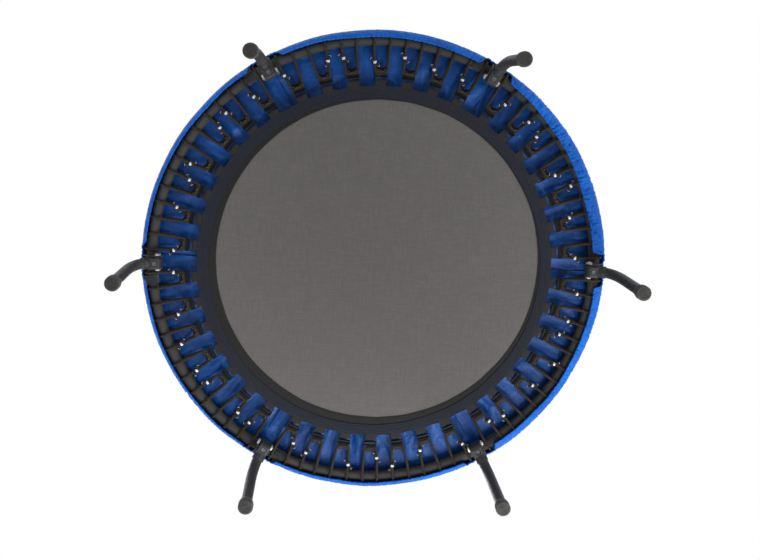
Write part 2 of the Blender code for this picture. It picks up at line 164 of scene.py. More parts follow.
def softened(outline, count, reach):
    """A closed outline resampled evenly and averaged over a short reach, which rounds it."""
    closed = np.vstack([outline, outline[:1]])
    along = np.r_[0, np.cumsum(np.linalg.norm(np.diff(closed, axis=0), axis=1))]
    at = np.linspace(0, along[-1], count, endpoint=False)
    even = np.stack([np.interp(at, along, closed[:, k]) for k in range(2)], -1)
    half = max(1, int(reach * count / along[-1]))
    return sum(np.roll(even, k, axis=0) for k in range(-half, half + 1)) / (2 * half + 1)


# ---- shells -----------------------------------------------------------------------------
def skin(points, round_u=False, round_v=False, reach=(1.0, 1.0), caps=False):
    """Quads over a grid (u, v). A closed shell's faces are turned outwards.

    reach is the UV at the grid's far side. caps closes both ends of a tube with one face."""
    points = np.asarray(points, float)
    rows, columns = points.shape[:2]
    cells = (rows if round_u else rows - 1, columns if round_v else columns - 1)
    i, j = (g.ravel() for g in np.meshgrid(*(np.arange(n) for n in cells), indexing="ij"))
    u = np.stack([i, i, i + 1, i + 1], -1)
    v = np.stack([j, j + 1, j + 1, j], -1)
    faces = [u % rows * columns + v % columns]
    uvs = [np.stack([u * (reach[0] / cells[0]), v * (reach[1] / cells[1])], -1)]
    if caps:
        ring = np.arange(columns)
        for end, order in ((0, ring[::-1]), (rows - 1, ring)):
            faces.append((end * columns + order)[None])
            turn = order[None] * TAU / columns
            uvs.append(0.01 * np.stack([np.cos(turn), np.sin(turn)], -1))
    shell = (points.reshape(-1, 3), faces, uvs)
    return outward(shell) if round_v and (round_u or caps) else shell


def stacked(rings, reach):
    """Rings stacked into a closed shape, with a face at each end."""
    return skin(rings, False, True, reach, caps=True)


def moved(shell, change):
    """The shell with its points passed through a function."""
    return change(shell[0]), shell[1], shell[2]


def joined(shells):
    """Several shells as one."""
    starts = np.cumsum([0] + [len(s[0]) for s in shells])
    points = np.vstack([s[0] for s in shells])
    faces = [f + start for s, start in zip(shells, starts) for f in s[1]]
    return points, faces, [uv for s in shells for uv in s[2]]


def frames(path, side, closed=False):
    """Unit vectors across a path: side made square to the path, and path x side."""
    if closed:
        along = unit(np.roll(path, -1, 0) - np.roll(path, 1, 0))
    else:
        along = unit(np.gradient(path, axis=0))
    side = np.broadcast_to(np.asarray(side, float), path.shape)
    side = unit(side - along * (side * along).sum(-1, keepdims=True))
    return side, np.cross(along, side)


def sweep(path, section, side, closed=False, reach=None):
    """A section (n, 2), or one for each point (m, n, 2), carried along a path."""
    across, up = frames(path, side, closed)
    section = np.broadcast_to(section, (len(path),) + np.shape(section)[-2:])
    grid = path[:, None] + section[..., :1] * across[:, None] + section[..., 1:] * up[:, None]
    reach = reach or (length(path, closed), 1.0)
    return skin(grid, closed, True, reach, caps=not closed)


def circle(radius, count):
    """A round section. radius may hold one value for each point of a path."""
    a = full_turn(count)
    return np.asarray(radius, float)[..., None, None] * np.stack([np.cos(a), np.sin(a)], -1)


def oval(half_x, half_y, count, power=2.5):
    """A superellipse section: |x / a|^p + |y / b|^p = 1."""
    a = full_turn(count)
    c, s = np.cos(a), np.sin(a)
    x = np.sign(c) * np.abs(c) ** (2 / power) * half_x
    y = np.sign(s) * np.abs(s) ** (2 / power) * half_y
    return np.stack([x, y], -1)


def revolved(profile, count):
    """An (r, z) profile turned about Z, with a small face at each end on the axis."""
    profile = np.asarray(profile, float)
    rings = polar(profile[:, None, 0], full_turn(count), profile[:, None, 1])
    return stacked(rings, (length(profile), 1.0))


def plate(outline, low, high, bevel):
    """An (x, z) outline given thickness along y, its edges rounded by a quarter circle.

    Each ring is the outline moved inward by b (1 - sin t), at b (1 - cos t) inside the face."""
    ahead = unit(np.roll(outline, -1, 0) - np.roll(outline, 1, 0))
    inward = np.stack([-ahead[:, 1], ahead[:, 0]], -1)
    x, z = outline.T
    if (x * np.roll(z, -1) - np.roll(x, -1) * z).sum() < 0:
        inward = -inward
    t = np.radians([0, 30, 60, 90])
    inset, depth = bevel * (1 - np.sin(t)), bevel * (1 - np.cos(t))
    y = np.r_[low + depth, (high - depth)[::-1]]
    flat = np.array([outline + inward * i for i in np.r_[inset, inset[::-1]]])
    grid = np.stack([flat[..., 0], np.repeat(y[:, None], len(outline), 1), flat[..., 1]], -1)
    return stacked(grid, (high - low, 0.1))


def outward(shell):
    """The shell with its faces turned round if its signed volume is negative."""
    points, faces, uvs = shell
    centre = points.mean(0)
    volume = 0.0
    for f in faces:
        p = points[f] - centre
        for k in range(1, f.shape[1] - 1):
            volume += (p[:, 0] * np.cross(p[:, k], p[:, k + 1])).sum()
    if volume < 0:
        return points, [f[:, ::-1] for f in faces], [uv[:, ::-1] for uv in uvs]
    return shell


def linked(made):
    """An object put in the scene."""
    bpy.context.scene.collection.objects.link(made)
    return made


def piece(name, shells, finishes, smooth=40.0):
    """A mesh object of one or more shells, each with its own finish where several are given."""
    shells = shells if isinstance(shells, list) else [shells]
    finishes = finishes if isinstance(finishes, list) else [finishes]
    points, faces, uvs = joined(shells)
    mesh = bpy.data.meshes.new(name)
    mesh.from_pydata(points.tolist(), [], [row for f in faces for row in f.tolist()])
    layer = mesh.uv_layers.new(name="UVMap")
    layer.data.foreach_set("uv", np.concatenate([uv.reshape(-1) for uv in uvs]).astype(np.float32))
    for finish in finishes:
        mesh.materials.append(finish)
    if len(finishes) > 1:
        index = [np.full(sum(len(f) for f in s[1]), k) for k, s in enumerate(shells)]
        mesh.polygons.foreach_set("material_index", np.concatenate(index).astype(np.int32))
    mesh.shade_smooth()
    mesh.set_sharp_from_angle(angle=math.radians(smooth))
    return linked(bpy.data.objects.new(name, mesh))


def put(name, shells, finishes, body, node=None, smooth=40.0):
    """A piece that rides on a body and the plain node that it replaces."""
    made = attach(piece(name, shells, finishes, smooth), body)
    if node:
        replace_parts(made, node)
    return made


def adjust(made, settings):
    """Attributes set from a dictionary."""
    for key, value in settings.items():
        setattr(made, key, value)
    return made


# ---- finishes ---------------------------------------------------------------------------
def add(tree, kind, inputs=(), **settings):
    """A node with its settings. inputs maps a socket to a value or to another node's output."""
    made = adjust(tree.nodes.new(kind), settings)
    for key, value in dict(inputs).items():
        if isinstance(value, bpy.types.NodeSocket):
            tree.links.new(value, made.inputs[key])
        else:
            made.inputs[key].default_value = value
    return made


def calc(tree, operation, *values):
    """The result of one Math node."""
    return add(tree, "ShaderNodeMath", dict(enumerate(values)), operation=operation).outputs[0]


def times(tree, *values):
    """The product of two values."""
    return calc(tree, "MULTIPLY", *values)


def ramp(tree, value, low, high, out_low=0.0, out_high=1.0):
    """value mapped from low..high to out_low..out_high, and held there outside."""
    spread = {0: value, 1: low, 2: high, 3: out_low, 4: out_high}
    return add(tree, "ShaderNodeMapRange", spread).outputs[0]


def tint(tree, share, first, second):
    """A colour between first and second. Each is a colour or another node's output."""
    ends = {6: first, 7: second}
    ends = {k: v if isinstance(v, bpy.types.NodeSocket) else (*v, 1.0) for k, v in ends.items()}
    return add(tree, "ShaderNodeMix", {0: share, **ends}, data_type="RGBA").outputs[2]


def over(tree, base, colour, mask, share):
    """The base with a colour laid over it where the mask is 1, at most by that share."""
    return tint(tree, times(tree, mask, share), base, colour)


def shade(colour, share):
    """A colour with its three values multiplied."""
    return tuple(c * share for c in colour)


def noise(tree, where, scale, detail=3.0, roughness=0.5):
    """The value of a Noise texture."""
    spread = {"Vector": where, "Scale": scale, "Detail": detail, "Roughness": roughness}
    return add(tree, "ShaderNodeTexNoise", spread).outputs[0]


def crossing(tree, first, second, edge):
    """Two sets of round threads that cross: their height, and where the first set is on top."""
    sines = [calc(tree, "SINE", times(tree, x, math.pi)) for x in (first, second)]
    top = ramp(tree, times(tree, *sines), -edge, edge)
    one, other = (calc(tree, "ABSOLUTE", s) for s in sines)
    under = times(tree, other, calc(tree, "SUBTRACT", 1.0, top))
    return calc(tree, "ADD", times(tree, one, top), under), top


def weave(tree, place):
    """The height of a plain weave, one thread to a unit along x and y."""
    parts = add(tree, "ShaderNodeSeparateXYZ", {0: place}).outputs
    return crossing(tree, parts[0], parts[1], 0.15)[0]


def braid(tree, place, pitch=0.011, carriers=8.0):
    """A braided sleeve, u along the cord and v round it: its height and the mask of one strand, which
    carries a painted highlight.
    """
    parts = add(tree, "ShaderNodeSeparateXYZ", {0: place}).outputs
    along = times(tree, calc(tree, "DIVIDE", parts[0], pitch), carriers)
    across = times(tree, parts[1], carriers)
    first = calc(tree, "ADD", along, across)
    height, top = crossing(tree, first, calc(tree, "SUBTRACT", along, across), 0.1)
    carrier = calc(tree, "FLOORED_MODULO", calc(tree, "FLOOR", first), carriers)
    return height, times(tree, calc(tree, "LESS_THAN", carrier, 0.5), top)


def wear(tree, place, size):
    """What use leaves on a surface: soft mottling, fine specks and rubbed edges."""
    mottle = noise(tree, place, size, 4.0, 0.6)
    specks = ramp(tree, noise(tree, place, size * 18.0, 2.0), 0.66, 0.74)
    rubbed = ramp(tree, add(tree, "ShaderNodeNewGeometry").outputs["Pointiness"], 0.515, 0.6)
    broken = ramp(tree, noise(tree, place, size * 5.0), 0.4, 0.62)
    return mottle, specks, times(tree, rubbed, broken)


def finish(name, colour, roughness, **sockets):
    """A material with its constants on the shader's own sockets."""
    made = bpy.data.materials.new(name)
    made.use_nodes = True
    tree = made.node_tree
    shader = tree.nodes["Principled BSDF"]
    shader.inputs["Base Color"].default_value = (*colour, 1.0)
    shader.inputs["Roughness"].default_value = roughness
    for key, value in sockets.items():
        shader.inputs[key.replace("_", " ")].default_value = value
    made.diffuse_color = (*colour, 1.0)
    return made, tree, shader


def feed(tree, shader, **outputs):
    """Other nodes' outputs joined to the shader's sockets."""
    for key, output in outputs.items():
        tree.links.new(output, shader.inputs[key.replace("_", " ")])


def bump(tree, shader, height, distance):
    """height in 0..1 as relief of so many metres."""
    relief = add(tree, "ShaderNodeBump", {"Height": height, "Distance": distance})
    feed(tree, shader, Normal=relief.outputs[0])


def spot(tree, kind):
    """Object or UV coordinates."""
    return add(tree, "ShaderNodeTexCoord").outputs[kind]


def scaled(tree, place, scale, turn=0.0):
    """Coordinates stretched by a scale for each axis and turned about Z."""
    spread = {"Vector": place, "Scale": scale, "Rotation": (0, 0, turn)}
    return add(tree, "ShaderNodeMapping", spread).outputs[0]


def hard(name, colour, roughness, mottle, size, grain, relief, detail=2.0, specks=None, edges=None,
         swing=None, **sockets):
    """A hard surface: mottled between two colours, with dust specks, rubbed edges and a grain.

    specks and edges are a share and a colour. swing is how far mottling moves the roughness."""
    made, tree, shader = finish(name, colour, roughness, **sockets)
    place = spot(tree, "Object")
    mottled, *masks = wear(tree, place, size)
    base = tint(tree, mottled, *mottle)
    for mask, mark in zip(masks, (specks, edges)):
        if mark:
            base = over(tree, base, mark[1], mask, mark[0])
    feed(tree, shader, Base_Color=base)
    if swing:
        low, high = (roughness + s for s in swing)
        feed(tree, shader, Roughness=ramp(tree, mottled, 0.3, 0.7, low, high))
    bump(tree, shader, noise(tree, scaled(tree, place, grain), 1.0, detail), relief)
    return made


def painted(name, colour, roughness, relief=0.00012, rubbed=(0.16, 0.15, 0.14), specular=0.45):
    """Powder coat: orange-peel relief, mottling, pale dust specks and rubbed edges."""
    return hard(name, colour, roughness, (shade(colour, 0.78), shade(colour, 1.25)), 22.0, (900.0,) * 3,
                relief, specks=(0.35, tuple(0.04 + 2 * c for c in colour)), edges=(0.55, rubbed),
                swing=(-0.05, 0.08), Specular_IOR_Level=specular)


def moulded(name, colour, roughness):
    """Moulded nylon: fine spark-eroded grain and paler edges."""
    return hard(name, colour, roughness, (shade(colour, 0.85), shade(colour, 1.2)), 60.0, (1600.0,) * 3,
                0.0001, edges=(0.4, shade(colour, 2.6)), swing=(-0.06, 0.08), Specular_IOR_Level=0.5)


def cloth(name, low, high, roughness, thread, relief, where="Object", sheen=0.2, turn=0.0, slubs=0.0):
    """Woven cloth, its low colour painted into the weave's hollows as shade. thread is the threads to a
    metre along the coordinates' first two axes.

    slubs darkens long streaks that follow the threads both ways."""
    made, tree, shader = finish(name, high, roughness, Sheen_Weight=sheen, Sheen_Roughness=0.5,
                                Specular_IOR_Level=0.25)
    place = spot(tree, where)
    height = weave(tree, scaled(tree, place, (*thread, 1.0), turn))
    mottle, specks, _ = wear(tree, spot(tree, "Object"), 14.0)
    # Painted shade: the weave's hollows take the low colour and its raised threads the high one.
    base = tint(tree, height, low, high)
    base = over(tree, base, shade(high, 0.72), ramp(tree, mottle, 0.35, 0.65), 0.35)
    base = over(tree, base, (0.3, 0.29, 0.27), specks, 0.1)
    if slubs:
        for scale in ((34.0, 560.0, 1.0), (560.0, 34.0, 1.0)):
            streak = noise(tree, scaled(tree, place, scale, 0.21), 1.0, 2.0)
            base = over(tree, base, shade(high, 0.62), ramp(tree, streak, 0.42, 0.62), slubs)
        grain = ramp(tree, noise(tree, place, 330.0, 2.0), 0.35, 0.65)
        base = over(tree, base, shade(high, 0.6), grain, slubs * 0.5)
    feed(tree, shader, Base_Color=base)
    bump(tree, shader, height, relief)
    return made


def braided(name, dark, light, ridge_highlight):
    """Elastic cord in a braided sleeve: the braid's hollows painted darker as shade, and one strand
    painted paler as a highlight for the cord's lit ridge.
    """
    made, tree, shader = finish(name, dark, 0.7, Specular_IOR_Level=0.3)
    height, strand = braid(tree, spot(tree, "UV"))
    # Painted shade and highlight: hollows take the dark colour, raised threads the light one, and one
    # strand the highlight colour.
    base = over(tree, tint(tree, height, dark, light), ridge_highlight, strand, 0.7)
    feed(tree, shader, Base_Color=over(tree, base, dark, wear(tree, spot(tree, "Object"), 30.0)[0], 0.3))
    bump(tree, shader, height, 0.0005)
    return made


def coated_blue(name, low, high, roughness, shine, relief):
    """Royal blue cover cloth: a fine oxford weave under a thin coating, with soft creases whose shade is
    painted into the colour.
    """
    made, tree, shader = finish(name, high, roughness, Specular_IOR_Level=shine,
                                Specular_Tint=(0.62, 0.72, 1.0, 1.0))
    place = spot(tree, "Object")
    woven = weave(tree, scaled(tree, spot(tree, "UV"), (1500.0, 1500.0, 1.0)))
    mottle = wear(tree, place, 9.0)[0]
    base = tint(tree, ramp(tree, mottle, 0.3, 0.7), low, high)
    creases = noise(tree, place, 46.0, 4.0, 0.55)
    ridges = calc(tree, "ABSOLUTE", calc(tree, "SUBTRACT", creases, 0.5))
    # Painted shade: away from the crease crests the colour darkens towards a deeper blue, so the crests
    # stay paler.
    base = tint(tree, ramp(tree, ridges, 0.0, 0.1, 0.0, 0.25), base, shade(low, 0.6))
    base = over(tree, base, shade(high, 0.75), woven, 0.25)
    rough = ramp(tree, mottle, 0.3, 0.7, roughness - 0.07, roughness + 0.07)
    feed(tree, shader, Base_Color=base, Roughness=rough)
    bump(tree, shader, calc(tree, "SUBTRACT", times(tree, woven, 0.1), times(tree, ridges, 6.0)), relief)
    return made


RING_PAINT = painted("ring_powder_coat", (0.037, 0.035, 0.032), 0.72, specular=0.2)
LEG_PAINT = painted("leg_powder_coat", (0.036, 0.036, 0.036), 0.56)
BRACKET_PAINT = painted("bracket_powder_coat", (0.022, 0.022, 0.023), 0.46)
ZINC = hard("bright_zinc", (0.86, 0.85, 0.82), 0.22, ((0.74, 0.73, 0.7), (0.95, 0.94, 0.91)), 90.0,
            (600.0, 600.0, 2500.0), 0.00005, 3.0, swing=(-0.06, 0.12), Metallic=1.0)
BLOCK = moulded("block_nylon", (0.018, 0.018, 0.019), 0.48)
BUTTON = moulded("button_nylon", (0.06, 0.06, 0.068), 0.42)
RUBBER = hard("foot_rubber_finish", (0.07, 0.069, 0.067), 0.72,
              ((0.05, 0.049, 0.048), (0.09, 0.088, 0.085)), 55.0, (700.0,) * 3, 0.00015, 3.0,
              specks=(0.5, (0.12, 0.115, 0.105)), Specular_IOR_Level=0.35)
# The first colour of each cloth below is painted shade for the hollows of its weave.
ELASTIC = cloth("strap_elastic_weave", (0.006, 0.006, 0.007), (0.022, 0.022, 0.024), 0.85,
                (900.0, 60.0), 0.0004, "UV")
MAT = cloth("mat_weave", (0.06, 0.055, 0.054), (0.148, 0.137, 0.134), 0.8, (620.0, 620.0), 0.0002,
            sheen=0.0, slubs=0.95)
BAND = cloth("inner_band_weave", (0.004, 0.004, 0.004), (0.012, 0.012, 0.012), 0.8, (700.0, 700.0),
             0.0002, sheen=0.03, turn=0.785)
WEB = cloth("edge_webbing_weave", (0.003, 0.005, 0.008), (0.013, 0.017, 0.029), 0.8,
            (900.0, 480.0), 0.0004, "UV", 0.03)
TAB = cloth("tab_webbing_weave", (0.005, 0.005, 0.004), (0.022, 0.019, 0.016), 0.82, (800.0, 500.0),
            0.0004, "UV", 0.05)
THREAD = finish("stitch_thread", (0.004, 0.004, 0.005), 0.7)[0]
HOOK = painted("hook_coating", (0.003, 0.0028, 0.0026), 0.42, 0.00006, (0.1, 0.09, 0.07), 0.18)
KEEPER = finish("keeper_wire", (0.12, 0.105, 0.085), 0.32, Metallic=1.0)[0]
# Colours: the cord's dark tone, also painted as shade in the hollows; the light colour of its raised
# threads; a painted highlight strand standing in for its lit ridge.
BRAID = braided("cord_sleeve", (0.006, 0.0045, 0.003), (0.036, 0.026, 0.017), (0.085, 0.055, 0.026))
CORE = finish("cord_rubber_core", (0.84, 0.79, 0.7), 0.6)[0]
CLIP = finish("crimp_steel", (0.86, 0.85, 0.83), 0.3, Metallic=0.85)[0]
# One blue cloth in two copies: the cover's colours darkened as painted shade for its underside, the hem's
# made paler as painted light.
COVER = coated_blue("blue_cloth_shaded", (0.0, 0.031, 0.155), (0.0, 0.079, 0.36), 0.33, 0.5, 0.0007)
HEM = coated_blue("blue_cloth_lit", (0.0, 0.07, 0.35), (0.0, 0.126, 0.58), 0.36, 0.3, 0.0012)


# ---- ring, brackets and bolts -----------------------------------------------------------
def ring_tube():
    """A circle of radius r carried round a circle of radius R."""
    shell = sweep(polar(RING_RADIUS, full_turn(480), RING_Z), circle(TUBE, 32), UP, True)
    put("ring_tube", shell, RING_PAINT, "frame", "frame_ring")


def at_leg(points, k):
    """From a leg's own frame (x outward, y along the bolt, z up, about the pivot) to the part's."""
    return turned(points + [PIVOT[0], 0, PIVOT[1]], LEG_STEP * (k - 1))


def six_of(*kinds):
    """Pieces made in a leg's own frame, put at every leg in turn."""
    for k in range(1, LEGS + 1):
        for name, shell, material, body, slot, node, smooth in kinds:
            body = body if body == "frame" else f"{body}_{k}"
            shell = moved(shell, lambda p: at_leg(p, k))
            put(f"{name}_{k}", shell, material, body, f"{node}_{k}", smooth)


def weld_bead(path, radius, side, seed):
    """A round bead whose radius ripples along it as the weld was laid."""
    ripple = radius * (1 + 0.16 * np.sin(np.arange(len(path)) * 1.9 + seed))
    return sweep(path, circle(ripple, 8), side)


def bracket_shells():
    """Saddle, two ears and the welds that hold them to the ring."""
    ring = (RING_RADIUS - PIVOT[0], RING_Z - PIVOT[1])
    inside = TUBE + 0.0012
    saddle = np.vstack([arc(ring, inside, 195, 345, 24), arc(ring, inside + 0.0026, 345, 195, 24)])
    ear = np.vstack([arc(ring, inside + 0.0003, 200, 340, 24),
                     [(0.038, 0.0125), (0.0345, 0.003), (0.021, -0.005), (0.0095, -0.01)],
                     arc((0, 0), 0.0125, 285, 160, 24)])
    ear = softened(ear, 120, 0.0011)
    shells = [plate(softened(saddle, 120, 0.0005), -EAR_OUTER + 0.0004, EAR_OUTER - 0.0004, 0.0004)]
    shells += [plate(ear, *sorted((s * EAR_INNER, s * EAR_OUTER)), 0.0006) for s in (-1, 1)]
    for degrees in (193, 347):
        x, z = arc(ring, TUBE + 0.0012, degrees, degrees, 1)[0]
        y = np.linspace(-EAR_OUTER, EAR_OUTER, 40)
        bead = np.stack([np.full_like(y, x), y, np.full_like(y, z)], -1)
        shells.append(weld_bead(bead, 0.0014, (1, 0, 0), degrees))
    return shells


def hexagon(radius, count=48):
    """Radii of a hexagon of that corner radius, as r cos 30 / cos(a mod 60 - 30)."""
    return radius * math.cos(TAU / 12) / np.cos(full_turn(count) % (TAU / 6) - TAU / 12)


def turned_rings(rings, count=48):
    """Rings of (radius or radii, y) about the y axis, joined into a closed shape."""
    a = full_turn(count)
    radius = np.array([np.broadcast_to(r, count) for r, y in rings])
    y = np.repeat([[y] for r, y in rings], count, 1)
    return stacked(np.stack([radius * np.cos(a), y, radius * np.sin(a)], -1), (0.02, 0.03))


def bolt_shells():
    """Hexagon head with its washer, shank, nut and the thread's end."""
    start = EAR_OUTER + 0.0003
    corner, core = 0.0073, 0.0002
    face = start + 0.0009
    end = start + 0.0046
    cap = np.minimum(hexagon(corner), corner * 0.9)
    head = [(core, face), (hexagon(corner * 0.985), face), (hexagon(corner), face + 0.0004),
            (hexagon(corner), end - 0.0008), (cap, end - 0.0001), (corner * 0.72, end), (core, end)]
    washer = [(core, start), (0.0083, start), (0.0085, start + 0.0003), (0.0083, face), (core, face)]
    shank = [(core, -start - 0.0055), (0.0032, -start - 0.0055), (0.0038, -start - 0.0049)]
    threads = np.linspace(-start - 0.0048, -start - 0.0004, 12)
    shank += [(0.0038 - 0.0004 * (k % 2), y) for k, y in enumerate(threads)]
    shank += [(0.0039, -start), (0.0039, start), (core, start)]
    mirrored = [[(r, -y) for r, y in rings] for rings in (head, washer)]
    return [turned_rings(rings) for rings in (head, washer, shank, *mirrored)]


def brackets_and_bolts():
    """One bracket and one bolt for each leg."""
    bracket, bolt = joined(bracket_shells()), joined(bolt_shells())
    six_of(("fold_bracket", bracket, BRACKET_PAINT, "frame", "bracket_paint", "leg_bracket", 35),
           ("hex_bolt", bolt, ZINC, "frame", "zinc_bolt", "pivot_bolt", 28))


# ---- legs -------------------------------------------------------------------------------
def leg_line():
    """Centre line of the arched tube and its direction at the block."""
    along = np.array([math.cos(WELD_SLOPE), 0, -math.sin(WELD_SLOPE)])
    weld = np.array([WELD[0], 0, WELD[1]]) + along * 0.0003
    start = weld + along * 0.004
    bend = start + along * ((LEG_OUT - 0.001 - start[0]) / along[0])
    knee = np.array([LEG_OUT, 0, KNEE])
    t = np.linspace(0, 1, 40)[:, None]
    curve = start * (1 - t) ** 2 + bend * (2 * t * (1 - t)) + knee * t * t
    end = np.array([LEG_OUT, 0, 0.0064 - PIVOT[1]])
    return np.vstack([weld[None], curve, np.linspace(knee, end, 12)[1:]]), along


def block_shell():
    """The knuckle block as rounded rectangles stacked from its crown to its underside, and on
    into the square pocket of the lock button."""
    inner = [(0.0122, -0.0005), (0.0118, -0.0034), (0.01, -0.0072), (0.007, -0.0101), (0.003, -0.0119),
             (-0.002, -0.0122), (-0.025, -0.0122), (-0.03, -0.0098), (-0.0332, -0.007),
             (-0.034, -0.0056)]
    outer = [(0.0122, 0.0005), (0.0112, 0.0048), (0.0078, 0.0094), (-0.003, 0.0262), (-0.0112, 0.0321),
             (-0.015, 0.0292), (-0.03, 0.018), (-0.0328, 0.0155), (-0.034, 0.0128)]
    heights = np.r_[0.0122, 0.0119, 0.0112, 0.0098, 0.0078, 0.005, 0.002,
                    np.linspace(-0.002, -0.031, 16), -0.0325, -0.0334, -0.034]
    left, right = (np.interp(heights, *np.array(side)[::-1].T) for side in (inner, outer))
    inset = np.zeros(len(heights))
    inset[-3:] = (0.0002, 0.0006, 0.0013)
    inset[:3] = (0.0016, 0.0009, 0.0003)
    rows = [(0.5 * (a + b), max(0.5 * (b - a) - i * 0.3, 0.0004), BLOCK_HALF - i, z)
            for a, b, i, z in zip(left, right, inset, heights)]
    pocket, floor = 0.00625, BLOCK_LOW + 0.009
    for half, z in ((0.0082, BLOCK_LOW), (0.0074, BLOCK_LOW - 0.0003), (0.0066, BLOCK_LOW),
                    (pocket, BLOCK_LOW + 0.0004), (pocket, floor), (0.001, floor)):
        rows.append((BUTTON_OUT, half, half, z))
    return stacked(squares(rows, 64, 9.0), (0.06, 0.1))


def collar_shell(line, along):
    """A moulded sleeve round the tube where it enters the block, with a rolled lip."""
    runs = [(0.0, 0.0146), (0.01, 0.0148), (0.0118, 0.0153), (0.0132, 0.0153), (0.014, 0.0147),
            (0.0142, 0.0128)]
    path = np.array([line[0] + along * (s - 0.003) for s, r in runs])
    return sweep(path, circle([r for s, r in runs], 40), SIDE)


def squares(rows, count, power):
    """Rounded rectangles. A row is (middle x, half x, half y, height)."""
    grid = []
    for x, half_x, half_y, z in rows:
        flat = oval(half_x, half_y, count, power)
        grid.append(np.c_[flat[:, 0] + x, flat[:, 1], np.full(count, z)])
    return grid


def button_shell():
    """A square push button with a rounded rim and a shallow dished face."""
    half, face = 0.0055, BLOCK_LOW + 0.0005
    rows = [(0.1, 0.0007), (0.55, 0.0006), (0.78, 0.0003), (0.86, 0.0), (0.94, 0.0002), (1.0, 0.001),
            (1.0, 0.005), (0.1, 0.005)]
    rows = [(BUTTON_OUT, half * s, half * s, face + z) for s, z in rows]
    return stacked(squares(rows, 48, 7.0), (0.02, 0.04))


def foot_shell():
    """A turned rubber cup: ringed sole, ribbed side, sloping shoulder and a rolled lip."""
    sole = [(0.0002, 0.0008), (0.0022, 0.0008), (0.0026, 0.0)]
    for ring in (0.0052, 0.0084, 0.0116):
        sole += [(ring - 0.0006, 0.0), (ring - 0.0003, 0.0008), (ring + 0.0003, 0.0008),
                 (ring + 0.0006, 0.0)]
    side = [(0.015, 0.0), (0.016, 0.0004), (0.0168, 0.0013), (0.0171, 0.0026)]
    for z in 0.004 + 0.0028 * np.arange(5):
        side += [(0.0171, z), (0.0171, z + 0.0014), (0.0165, z + 0.0018), (0.0165, z + 0.0024)]
    lip = [(0.0171, 0.0184), (0.0169, 0.0196), (0.016, 0.024), (0.0153, 0.028), (0.0152, 0.0292),
           (0.0147, 0.03), (0.014, 0.03), (0.0132, 0.0294), (0.013, 0.028), (0.013, 0.0066),
           (0.0002, 0.0066)]
    return revolved(sole + side + lip, 72)


def legs():
    """Six legs, each a tube, a foot, a block with its collar, and a button."""
    line, along = leg_line()
    tube = sweep(line, circle(TUBE, 40), SIDE)
    foot = moved(foot_shell(), lambda p: p + [LEG_OUT, 0, -PIVOT[1]])
    block = joined([block_shell(), collar_shell(line, along)])
    six_of(("arched_leg", tube, LEG_PAINT, "leg", "leg_paint", "leg_tube", 35),
           ("rubber_foot", foot, RUBBER, "leg", "foot_rubber", "foot", 35),
           ("knuckle_block", block, BLOCK, "leg", "block_plastic", "hinge_block", 35),
           ("push_button", button_shell(), BUTTON, "button", "button_plastic", "lock_button", 35))


# ---- mat --------------------------------------------------------------------------------
def loop_angle(bay, i):
    """The middle of a cord loop, in radians. Bay b follows leg b + 1."""
    return LEG_STEP * bay + LOOP_FIRST + LOOP_STEP * i


LOOP_ANGLES = np.array([loop_angle(b, i) for b in range(LEGS) for i in range(LOOPS)])


def between_tabs(angle):
    """0 at the middle of a tab and 1 midway between two, so that the edge can scallop."""
    off = np.abs((angle[:, None] - LOOP_ANGLES + math.pi) % TAU - math.pi).min(1)
    return smooth_step((off - 0.03) / (LOOP_STEP / 2 - 0.03))


def mat_cloth():
    """A taut disc, closed round its rim. Each ring lifts a little towards the sewn tabs."""
    a = full_turn(504)
    radii = np.r_[0.004, np.linspace(0.03, 0.38, 22), np.linspace(0.388, MAT_RADIUS, 10)]
    lift = 0.0004 * (radii[:, None] / MAT_RADIUS) ** 12 * (between_tabs(a)[None] - 0.5)
    low = polar(radii[:, None], a[None], MAT_LOW + lift)
    high = polar(radii[::-1, None], a[None], MAT_TOP + lift[::-1])
    shell = stacked(np.vstack([low, high]), (0.9, 1.0))
    return put("mat_cloth", shell, MAT, "mat", "jump_mat")


def flat_ring(inner, outer, low, high, count, wave_in, wave_out=0.0, off=(0.0, 0.0), puff=0.0003,
              ribs=(1, 0.0)):
    """A band of cloth between two radii, its faces slightly pillowed and its edges round."""
    a = full_turn(count)
    inner = inner + off[0] * np.cos(a) + off[1] * np.sin(a)
    inner = inner + wave_in * waves(polar(0.4, a, 0), 0.06, 12, 3)
    outer = outer + wave_out * (between_tabs(a) - 0.5)
    t = np.r_[0.0, 0.02, np.linspace(0.05, 0.95, 25 if ribs[1] else 7), 0.98, 1.0]
    bulge = puff * np.sin(math.pi * t) ** 0.5 + ribs[1] * np.abs(np.sin(ribs[0] * math.pi * t))
    section = [*zip(t, low - bulge), *zip(t[::-1], high + bulge)]
    grid = np.array([polar(inner + (outer - inner) * s, a, z) for s, z in section])
    return skin(grid.transpose(1, 0, 2), True, True, (TAU * 0.42, 0.08))


def stitch_rows(rows, pitch=0.0046, thread=0.0007):
    """Rows of short stitches, each a bowed capsule. A row is (radius, height)."""
    shells = []
    sides, reach = 6, 0.36                           # reach is half a stitch, in pitches
    ends = np.array([0.15, 0.75, 1.0, 0.75, 0.15])[:, None]
    a = full_turn(sides)
    t = np.linspace(-reach, reach, len(ends))
    for radius, z in rows:
        count = int(TAU * radius / pitch)
        angle = (np.arange(count)[:, None] + t) * TAU / count
        bow = z - 0.0003 * np.cos(t / reach * math.pi / 2)
        height = bow[:, None] + thread * ends * np.sin(a)
        points = polar(radius + (thread * ends * np.cos(a))[None], angle[..., None], height[None])
        _, faces, uvs = stacked(points[0], (0.003, 1.0))
        step = np.arange(count)[:, None, None] * len(ends) * sides
        faces = [(f[None] + step).reshape(-1, f.shape[1]) for f in faces]
        shells.append((points.reshape(-1, 3), faces, [np.tile(uv, (count, 1, 1)) for uv in uvs]))
    return shells


